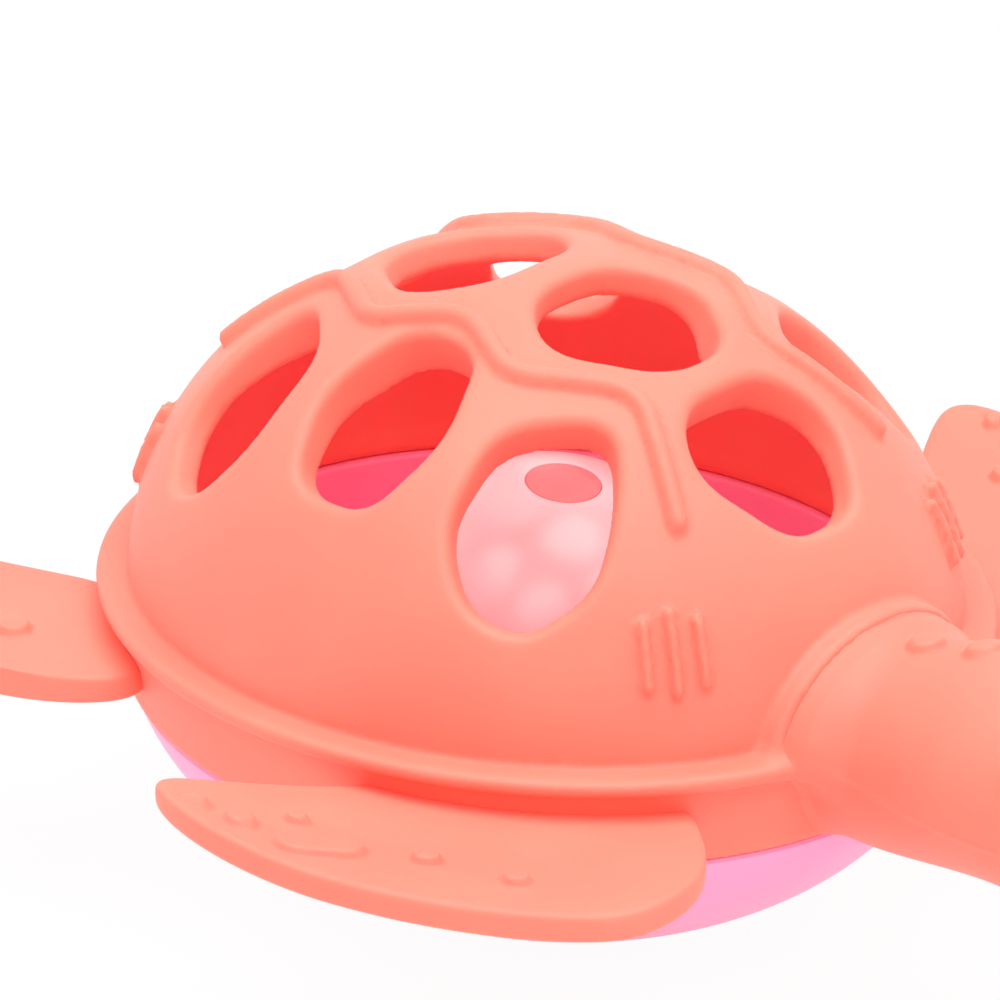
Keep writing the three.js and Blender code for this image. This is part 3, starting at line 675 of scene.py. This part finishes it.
on_top = outside[..., 2] > RIM_HEIGHT
push = np.zeros(ahead.shape)
for place in HEAD_BUMPS:
    away = np.hypot(ahead - place, outside[..., 1])
    push += np.where(on_top, bump(away, HEAD_BUMP_RADIUS, BUMP_HEIGHT), 0)
parting = np.exp(-(((outside[..., 2] - RIM_HEIGHT) / PARTING_HALF) ** 2))
push += PARTING_HEIGHT * parting * np.clip((ahead - PARTING_START) / PARTING_FADE, 0, 1)
outside = outside + push[..., None] * out
mouth = outside[..., 2] - (RIM_HEIGHT - MOUTH_DROP + MOUTH_CURVE * (outside[..., 1] ** 2))
at_mouth = np.clip((ahead - MOUTH_START) / MOUTH_FADE, 0, 1)
outside[..., 0] -= MOUTH_DEPTH * np.exp(-((mouth / MOUTH_HALF) ** 2)) * at_mouth
for side in (-1, 1):
    nostril = np.hypot(outside[..., 1] - side * NOSTRIL_ASIDE, outside[..., 2] - (RIM_HEIGHT + NOSTRIL_UP))
    outside[..., 0] -= NOSTRIL_DEPTH * np.exp(-((nostril / NOSTRIL_HALF) ** 2)) * (ahead > NOSTRIL_START)
print("bumps on the head:", len(HEAD_BUMPS), "of", BUMP_HEIGHT, "mm")

# %% [markdown]
# ## The head as a piece
#
# The hollow and the outside are joined into one piece, with one point to close each at the nose.

# %% Head
tip = np.array([[PIVOT + HEAD_REACH - HEAD_WALL, 0, HEAD_LEVEL], [PIVOT + HEAD_REACH, 0, HEAD_LEVEL]])
head = piece_from("head_and_neck", *joined_rings(np.concatenate([hollow, outside]), tip))
head.data.materials.append(coral)
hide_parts("head")
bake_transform(head)

# %% [markdown]
# ## Flippers
#
# Each flipper is a flat rubber blade with a rounded edge and a few low bumps on top. Its plan is a square with
# round corners, bent to the band: one direction runs along the root as a heading round the band, and the other runs
# outwards while the whole sweeps back and its tip rises.

# %% Plans of the flippers
FLIPPER_HALF, FLIPPER_DROP = 1.7, 3.4  # half the blade's thickness, and how far its top is below the rim
FLIPPER_LEVEL = RIM_HEIGHT - FLIPPER_DROP - FLIPPER_HALF
ROOT_SINK = 2.0  # how far the root goes into the band
LEADING_PART, LEADING_LOSS = 0.16, 0.2  # of the root's length, and of the reach
TRAILING_START, TRAILING_LOSS = 0.6, 0.12
SIDE_POWER = 1.6  # how fast the trailing side sweeps back and rounds off
FLIPPERS = {
    "front": {
        "root": (31.5, 73.0), "sweep": (4.5, 13.6), "reach": 25.3, "rise": (2.0, 7.8), "root_squareness": 16.0,
        "bumps": [(80, 20.4, 1.5), (76, 20, 2.1), (72.8, 15, 1.7), (59.6, 15.9, 2.0), (51, 17.8, 1.9)],
        "ovals": [(70.2, 20.4, 66.9, 18.2, 2.9)],
    },
    "rear": {
        "root": (115.5, 143.5), "sweep": (15.5, 4.5), "reach": 27.3, "rise": (1.0, 2.0), "root_squareness": 6.0,
        "bumps": [(130.6, 11.3, 2.4), (138, 18.5, 1.8)],
        "ovals": [],
    },
}


def beside_band(heading, reach):
    """Plan places at a heading round the band and a reach square out from it."""
    turn = np.radians(heading)
    out = np.stack([OVAL * np.cos(turn), np.sin(turn)], -1)
    out /= np.linalg.norm(out, axis=-1, keepdims=True)
    foot = np.stack([BAND_OUTER * np.cos(turn), BAND_OUTER * OVAL * np.sin(turn)], -1)
    return foot + out * np.asarray(reach)[..., None]


def flipper_points(form, along, outward):
    """Plan place and middle height from parts of the way along the root and outwards.

    The leading side sweeps by outward^2 and the trailing one by 1 - (1 - outward)^1.6. The height grows with
    outward, and more so towards the trailing side.
    """
    sweep = np.stack([form["sweep"][0] * outward**2, form["sweep"][1] * (1 - (1 - outward) ** SIDE_POWER)], -1)
    heading = (form["root"][0] + sweep[..., 0]) * (1 - along) + (form["root"][1] + sweep[..., 1]) * along
    leading = np.clip(1 - along / LEADING_PART, 0, 1)
    trailing = np.clip((along - TRAILING_START) / (1 - TRAILING_START), 0, 1)
    rounding = 1 - LEADING_LOSS * leading**2 - TRAILING_LOSS * trailing**SIDE_POWER
    reach = form["reach"] * rounding * outward - ROOT_SINK * (1 - outward) ** 4
    rise = outward * (form["rise"][0] + (form["rise"][1] - form["rise"][0]) * along**2)
    return beside_band(heading, reach), FLIPPER_LEVEL + rise


for place, form in FLIPPERS.items():
    print(place, "flippers reach", form["reach"], "mm out from the band")

# %% [markdown]
# ## Rings of a flipper
#
# The grid runs from the middle of the top over the edge to the middle of the underside, so the poles lie on the
# flat faces, where they don't show. The bumps lift the top face alone.

# %% Rings of a flipper
FLAT_PART = 0.87  # of the way from the middle to the edge, where the rounding begins
EDGE_POWER = 0.55  # below one, the edge is squarer than a half circle
LEADING_SQUARENESS, TRAILING_SQUARENESS = 5.0, 6.0  # of the plan's outer corners


def flipper_rings(form, around=432, flat_rows=84, edge_rows=12):
    """Rings from the middle of the top to the middle of the underside, and the two middle points."""
    turn = np.linspace(0, 2 * np.pi, around, endpoint=False)
    way = np.stack([np.cos(turn), np.sin(turn)], -1)
    outer = np.where(way[:, 0] < 0, LEADING_SQUARENESS, TRAILING_SQUARENESS)
    squareness = np.where(way[:, 1] < 0, form["root_squareness"], outer)
    way /= ((np.abs(way) ** squareness[:, None]).sum(-1) ** (1 / squareness))[:, None]
    edge = np.linspace(0, np.pi / 2, edge_rows)
    over_edge = FLAT_PART + (1 - FLAT_PART) * np.sin(edge) ** EDGE_POWER
    size = np.concatenate([np.linspace(0, FLAT_PART, flat_rows + 1)[1:-1], over_edge])
    lift = np.concatenate([np.ones(flat_rows - 1), np.cos(edge) ** EDGE_POWER])
    size, lift = np.concatenate([size, size[-2::-1]]), np.concatenate([lift, -lift[-2::-1]])
    part = 0.5 + 0.5 * size[:, None, None] * way
    plan, level = flipper_points(form, part[..., 0], part[..., 1])
    top = np.clip(lift, 0, 1)[:, None]
    raised = np.zeros(level.shape)
    for heading, reach, radius in form["bumps"]:
        away = np.linalg.norm(plan - beside_band(heading, reach), axis=-1)
        raised = np.maximum(raised, bump(away, radius, BUMP_HEIGHT))
    for heading, reach, far_heading, far_reach, radius in form["ovals"]:
        line = np.array([beside_band(heading, reach), beside_band(far_heading, far_reach)])
        raised = np.maximum(raised, bump(path_distance(plan, line), radius, BUMP_HEIGHT))
    z = level + FLIPPER_HALF * lift[:, None] + raised * top
    rings = np.concatenate([plan, z[..., None]], -1)
    middle, height = flipper_points(form, np.array([0.5]), np.array([0.5]))
    poles = [[*middle[0], height[0] + FLIPPER_HALF], [*middle[0], height[0] - FLIPPER_HALF]]
    return rings, np.array(poles)


print("rings of a flipper:", len(flipper_rings(FLIPPERS["front"])[0]))

# %% [markdown]
# ## The four flippers
#
# The left ones are worked out and the right ones are their mirror images.

# %% Four flippers
BEND_START, BEND_END = 0.3, 9.0  # out from the band

for place, form in FLIPPERS.items():
    for side, mirror in (("left", 1), ("right", -1)):
        rings, poles = flipper_rings(form)
        flip = np.array([1, mirror, 1])
        flipper = piece_from(f"{place}_flipper_{side}_blade", *joined_rings(rings * flip, poles * flip))
        flipper.data.materials.append(coral)
        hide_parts(f"{place}_flipper_{side}")
        middle = sum(form["root"]) / 2
        start = np.append(beside_band(middle, BEND_START), FLIPPER_LEVEL) * flip / 1000
        end = np.append(beside_band(middle, BEND_END), FLIPPER_LEVEL) * flip / 1000
        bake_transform(flipper)

# %% [markdown]
# ## Bowl
#
# The bowl is injection-moulded ABS: hard, evenly pink and fairly shiny, with a very faint orange-peel from the
# mould, so its highlights are wide but have an edge. It is one profile turned round an upright axis and drawn in
# sideways to an oval. The profile goes up the outside from the flat foot to the shoulder, up the wall that stands
# inside the band, and down the inside.

# %% Pink ABS
def moulded_abs(name, light, dark, roughness, waviness):
    """Smooth moulded ABS between two close colours, with a waviness of a few millimetres from the mould."""
    material, tree, output = new_material(name)
    place = add_node(tree, "ShaderNodeTexCoord")
    drift = add_node(
        tree, "ShaderNodeTexNoise", {"Scale": 1 / 0.025, "Detail": 1.0}, {"Vector": (place, "Object")}
    )
    colour = add_node(tree, "ShaderNodeValToRGB", links={"Fac": (drift, "Fac")})
    colour.color_ramp.elements[0].position, colour.color_ramp.elements[1].position = 0.35, 0.65
    colour.color_ramp.elements[0].color, colour.color_ramp.elements[1].color = linear(dark), linear(light)
    wave = add_node(
        tree, "ShaderNodeTexNoise", {"Scale": 1 / 0.003, "Detail": 0.0}, {"Vector": (place, "Object")}
    )
    ripple = add_node(
        tree, "ShaderNodeBump", {"Strength": waviness, "Distance": 0.0001}, {"Height": (wave, "Fac")}
    )
    rough = add_node(
        tree,
        "ShaderNodeMapRange",
        {"To Min": roughness - 0.03, "To Max": roughness + 0.03},
        {"Value": (drift, "Fac")},
    )
    shader = add_node(
        tree,
        "ShaderNodeBsdfPrincipled",
        {
            "IOR": 1.53,
            "Subsurface Weight": 0.12,
            "Subsurface Radius": (1.0, 0.5, 0.6),
            "Subsurface Scale": 0.001,
        },
        {"Base Color": (colour, "Color"), "Roughness": (rough, "Result"), "Normal": (ripple, "Normal")},
    )
    tree.links.new(shader.outputs["BSDF"], output.inputs["Surface"])
    return material


pink_abs = moulded_abs("pink_abs", "#FFA3CE", "#FF9CC9", 0.36, 0.08)
print("made", pink_abs.name)

# %% Bowl
BOWL_RADIUS, BOWL_MIDDLE, BOWL_DEPTH, BOWL_WALL, BOWL_FLOOR = 49.9, 29.0, 30.99, 2.4, 2.6
BOWL_CORNER, BOWL_ROWS, BOWL_AROUND = 0.5, 40, 160
SHOULDER, UPRIGHT_TOP, UPRIGHT_OUTER, UPRIGHT_INNER = 23.2, 31.2, 46.3, 44.1


def arc(radius, depth, middle, from_height, to_height, rows):
    """[radius, height] points on an oval between two heights, evenly spaced in angle."""
    first, last = np.arcsin((from_height - middle) / depth), np.arcsin((to_height - middle) / depth)
    angle = np.linspace(first, last, rows)
    return np.stack([radius * np.cos(angle), middle + depth * np.sin(angle)], -1)


inside_depth = BOWL_MIDDLE - BOWL_FLOOR
wall_foot = BOWL_MIDDLE - inside_depth * math.sqrt(1 - (UPRIGHT_INNER / (BOWL_RADIUS - BOWL_WALL)) ** 2)
bowl_path = np.concatenate(
    [
        [[8, 0]],
        arc(BOWL_RADIUS, BOWL_DEPTH, BOWL_MIDDLE, 0, SHOULDER, BOWL_ROWS),
        [[UPRIGHT_OUTER, SHOULDER], [UPRIGHT_OUTER, UPRIGHT_TOP], [UPRIGHT_INNER, UPRIGHT_TOP]],
        arc(BOWL_RADIUS - BOWL_WALL, inside_depth, BOWL_MIDDLE, wall_foot, BOWL_FLOOR + 0.02, BOWL_ROWS),
    ]
)
bowl_profile = soft_corners(bowl_path, BOWL_CORNER, steps=4)
bowl_poles = np.array([[0, 0, 0], [0, 0, BOWL_FLOOR]])
bowl = piece_from("bowl_turned", *joined_rings(turned(bowl_profile, BOWL_AROUND, OVAL), bowl_poles))
bowl.data.materials.append(pink_abs)
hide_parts("bowl")
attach(bowl, "shell")

# %% [markdown]
# ## Rattle ball
#
# The ball is two half shells of ABS pressed together, with a flat salmon plug that closes the filling hole. Each
# part is a profile turned round the ball's axis, which leans a little towards the head. The joint between the
# halves stays as a fine groove, and so does the gap round the plug. The mould for the ball was polished, so the
# openings show on it as soft bright patches. The plug is duller, so it shows as one even spot.

# %% Ball finishes
pale_abs = moulded_abs("pale_pink_abs", "#FFD8DA", "#FFD0D4", 0.28, 0.05)
salmon_abs = moulded_abs("salmon_plug_abs", "#FF8A8C", "#FF8386", 0.4, 0.05)
print("made", pale_abs.name, "and", salmon_abs.name)

# %% Ball halves
BALL_RADIUS, BALL_WALL, BALL_TILT = 22.5, 1.8, 8.0
BALL_HEIGHT = 25.4
BALL_AROUND = 128
PLUG_RADIUS, PLUG_GAP = 4.2, 0.06
SEAM_HALF, FINE_CORNER = 0.15, 0.12
SPIGOT_GAP, SPIGOT_WALL, SPIGOT_TOP, SPIGOT_FOOT, SPIGOT_CORNER = 0.4, 0.9, 1.6, -4.0, 0.25


def leaning(rings):
    """Rings about the ball's own middle, leant over and put in their place."""
    lean = math.radians(BALL_TILT)
    x = rings[..., 0] * math.cos(lean) + rings[..., 2] * math.sin(lean)
    z = rings[..., 2] * math.cos(lean) - rings[..., 0] * math.sin(lean)
    return np.stack([x, rings[..., 1], z + BALL_HEIGHT], -1)


def sphere_arc(radius, from_height, to_height, rows):
    """[radius, height] points on a ball between two heights above its middle."""
    return arc(radius, radius, 0.0, from_height, to_height, rows)


inner_radius = BALL_RADIUS - BALL_WALL
hole = PLUG_RADIUS + PLUG_GAP
upper_path = np.concatenate(
    [
        sphere_arc(BALL_RADIUS, SEAM_HALF, math.sqrt(BALL_RADIUS**2 - hole**2), 40),
        sphere_arc(inner_radius, math.sqrt(inner_radius**2 - hole**2), SEAM_HALF, 24),
    ]
)
upper_rings = turned(soft_corners(upper_path, FINE_CORNER, 4, True), BALL_AROUND)
upper_half = piece_from("ball_upper_shell", *joined_rings(leaning(upper_rings)))
spigot = inner_radius - SPIGOT_GAP
lower_path = np.concatenate(
    [
        sphere_arc(BALL_RADIUS, -BALL_RADIUS + 0.01, -0.02, 48),
        [[spigot, -0.02], [spigot - 0.1, SPIGOT_TOP], [spigot - SPIGOT_WALL, SPIGOT_TOP]],
        sphere_arc(inner_radius - SPIGOT_WALL, SPIGOT_FOOT, -inner_radius + SPIGOT_WALL + 0.01, 24),
    ]
)
lower_rings = turned(soft_corners(lower_path, SPIGOT_CORNER, 4), BALL_AROUND)
lower_poles = np.array([[0, 0, -BALL_RADIUS], [0, 0, SPIGOT_WALL - inner_radius]])
lower_half = piece_from("ball_lower_shell", *joined_rings(leaning(lower_rings), leaning(lower_poles)))

# %% [markdown]
# ## Plug
#
# The plug is a low disc with a flange that catches under the ball's wall. Its top carries the ball's curve on.

# %% Plug
PLUG_FOOT, FLANGE_RADIUS, FLANGE_TOP = 17.7, 5.5, 18.7  # from the ball's middle
PLUG_AROUND = 96

plug_top = math.sqrt(BALL_RADIUS**2 - PLUG_RADIUS**2)
plug_path = np.array(
    [
        [2.0, PLUG_FOOT],
        [FLANGE_RADIUS, PLUG_FOOT],
        [FLANGE_RADIUS, FLANGE_TOP],
        [PLUG_RADIUS, FLANGE_TOP],
        [PLUG_RADIUS, plug_top],
        [2.8, plug_top + 0.27],
        [1.0, 22.47],
    ]
)
plug_poles = np.array([[0, 0, PLUG_FOOT], [0, 0, BALL_RADIUS]])
plug_rings = turned(soft_corners(plug_path, FINE_CORNER, 5), PLUG_AROUND)
plug = piece_from("ball_plug_disc", *joined_rings(leaning(plug_rings), leaning(plug_poles)))
for piece, node, finish, slot in (
    (upper_half, "ball_upper_half", pale_abs, "ball_pale_pink"),
    (lower_half, "ball_lower_half", pale_abs, "ball_pale_pink"),
    (plug, "ball_plug", salmon_abs, "plug_salmon"),
):
    piece.data.materials.append(finish)
    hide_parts(node)
    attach(piece, "ball")

# %% [markdown]
# ## Eyes and beads
#
# The eyes are small domes of dark brown ABS set in the head. They are polished, so each holds a sharp highlight.
# The beads are ivory ABS straight from the mould, which is evenly dull. They lie sealed inside the ball and are
# never seen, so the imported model's own beads stay.

# %% Eyes and beads
EYE_AHEAD, EYE_ANGLE, EYE_RADIUS, EYE_FORWARD, EYE_FLATNESS = 29.5, 28.0, 2.4, 0.22, 0.8

dark_abs = moulded_abs("dark_brown_abs", "#3A2320", "#2C1917", 0.12, 0.0)
ivory_abs = moulded_abs("ivory_abs", "#FFF3E4", "#F6E8D6", 0.4, 0.05)


def eye_rings(side):
    """A ball flattened a little along the way out of the head, in rings about that way."""
    from_front = np.linspace(0, np.pi, 26)[1:-1, None]
    turn = np.linspace(0, 2 * np.pi, 48, endpoint=False)
    lean = math.radians(EYE_ANGLE)
    out = np.array([EYE_FORWARD, side * math.cos(lean), math.sin(lean)])
    out /= np.linalg.norm(out)
    across = np.cross(out, [1, 0, 0])
    across /= np.linalg.norm(across)
    up = np.cross(out, across)
    shrink = math.sqrt(1 - ((EYE_AHEAD - HEAD_MIDDLE) / (HEAD_REACH - HEAD_MIDDLE)) ** 2)
    halves = HEAD_HALVES * shrink
    middle = np.array(
        [PIVOT + EYE_AHEAD, side * halves[0] * math.cos(lean), HEAD_LEVEL + halves[1] * math.sin(lean)]
    )
    spread = EYE_RADIUS * np.sin(from_front)[..., None]
    rings = spread * (np.cos(turn)[:, None] * across + np.sin(turn)[:, None] * up)
    thick = EYE_FLATNESS * EYE_RADIUS
    rings = middle + rings + thick * np.cos(from_front)[..., None] * out
    return rings, np.array([middle + thick * out, middle - thick * out])


for name, side in (("left", 1), ("right", -1)):
    eye = piece_from(f"eye_{name}_dome", *joined_rings(*eye_rings(side)))
    eye.data.materials.append(dark_abs)
    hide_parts(f"eye_{name}")
    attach(eye, "head")

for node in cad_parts.values():
    if node.name.startswith("bead_"):
        node.data.materials.clear()
        node.data.materials.append(ivory_abs)
print("beads finished:", sum(name.startswith("bead_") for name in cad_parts))

# %% [markdown]
# ## Floor, backdrop and light
#
# The photograph is a plain studio picture on white. A wide floor and a white world do the same: what the camera
# sees of them directly is white, and the floor still takes a soft shadow. The light is one broad lamp overhead and
# an even sky, bright enough that the coral's red channel is full nearly everywhere, as it is in the photograph.

# %% White world
SKY_LIGHT = 0.74  # of what the camera sees of it


def seen_directly(tree):
    """One for rays from the camera, from a mirror or through a clear piece, and nought for all others."""
    rays = add_node(tree, "ShaderNodeLightPath")
    straight = add_node(
        tree,
        "ShaderNodeMath",
        operation="MAXIMUM",
        links={0: (rays, "Is Camera Ray"), 1: (rays, "Is Transmission Ray")},
    )
    return add_node(
        tree, "ShaderNodeMath", operation="MAXIMUM", links={0: (straight, "Value"), 1: (rays, "Is Glossy Ray")}
    )


world = bpy.data.worlds.new("studio_white")
world.use_nodes = True
tree = world.node_tree
tree.nodes.clear()
seen = seen_directly(tree)
strength = add_node(
    tree, "ShaderNodeMapRange", {"To Min": SKY_LIGHT, "To Max": 1.0}, {"Value": (seen, "Value")}
)
sky = add_node(tree, "ShaderNodeBackground", {"Color": (1, 1, 1, 1)}, {"Strength": (strength, "Result")})
end = tree.nodes.new("ShaderNodeOutputWorld")
tree.links.new(sky.outputs["Background"], end.inputs["Surface"])
bpy.context.scene.world = world
print("made", world.name)

# %% [markdown]
# ## Floor
#
# The floor is matt white board. Nearly all that the camera sees of it is plain white, and the small matt part that
# is left takes the toy's shadow.

# %% White floor
FLOOR_GLOW = 0.95
FLOOR_HALF, FLOOR_LEVEL = 1500.0, -0.05

white_floor, tree, output = new_material("white_floor")
seen = seen_directly(tree)
matt = add_node(tree, "ShaderNodeBsdfDiffuse", {"Color": (0.9, 0.9, 0.9, 1)})
glow = add_node(tree, "ShaderNodeEmission", {"Color": (1, 1, 1, 1), "Strength": 1.0})
share = add_node(tree, "ShaderNodeMath", {1: FLOOR_GLOW}, {0: (seen, "Value")}, operation="MULTIPLY")
mixed = add_node(
    tree, "ShaderNodeMixShader", links={0: (share, "Value"), 1: (matt, "BSDF"), 2: (glow, "Emission")}
)
tree.links.new(mixed.outputs["Shader"], output.inputs["Surface"])
floor_corners = [[x * FLOOR_HALF, y * FLOOR_HALF, FLOOR_LEVEL] for x, y in ((-1, -1), (1, -1), (1, 1), (-1, 1))]
floor = piece_from("studio_floor", np.array(floor_corners), np.array([[0, 1, 2, 3]]))
floor.data.materials.append(white_floor)

# %% [markdown]
# ## Lamp
#
# A lamp that is far broader than the toy gives shadows with no hard edge. It hangs a little ahead and to the right,
# so the near side is lit as in the photograph.

# %% Lamp
def soft_lamp(name, place, aim, size, watts):
    """A square area lamp at a place in metres, turned to face its aim."""
    data = bpy.data.lights.new(name, "AREA")
    data.shape, data.size, data.energy = "SQUARE", size, watts
    lamp = bpy.data.objects.new(name, data)
    way = np.array(place) - np.array(aim)
    lamp.location = place
    lamp.rotation_euler = (math.acos(way[2] / np.linalg.norm(way)), 0, math.atan2(way[1], way[0]) + math.pi / 2)
    bpy.context.collection.objects.link(lamp)


soft_lamp("broad_lamp", (0.14, -0.06, 0.95), (0, 0, 0.03), 1.1, 13.0)
print("lamps:", len(bpy.data.lights))

# %% [markdown]
# ## Finish
#
# The picture is shown with no tone curve. Light bounces many times inside the dome before it comes out, so it is
# given enough bounces to.

# %% Finish
bpy.context.scene.view_settings.view_transform = "Standard"
bpy.context.scene.cycles.diffuse_bounces = 12
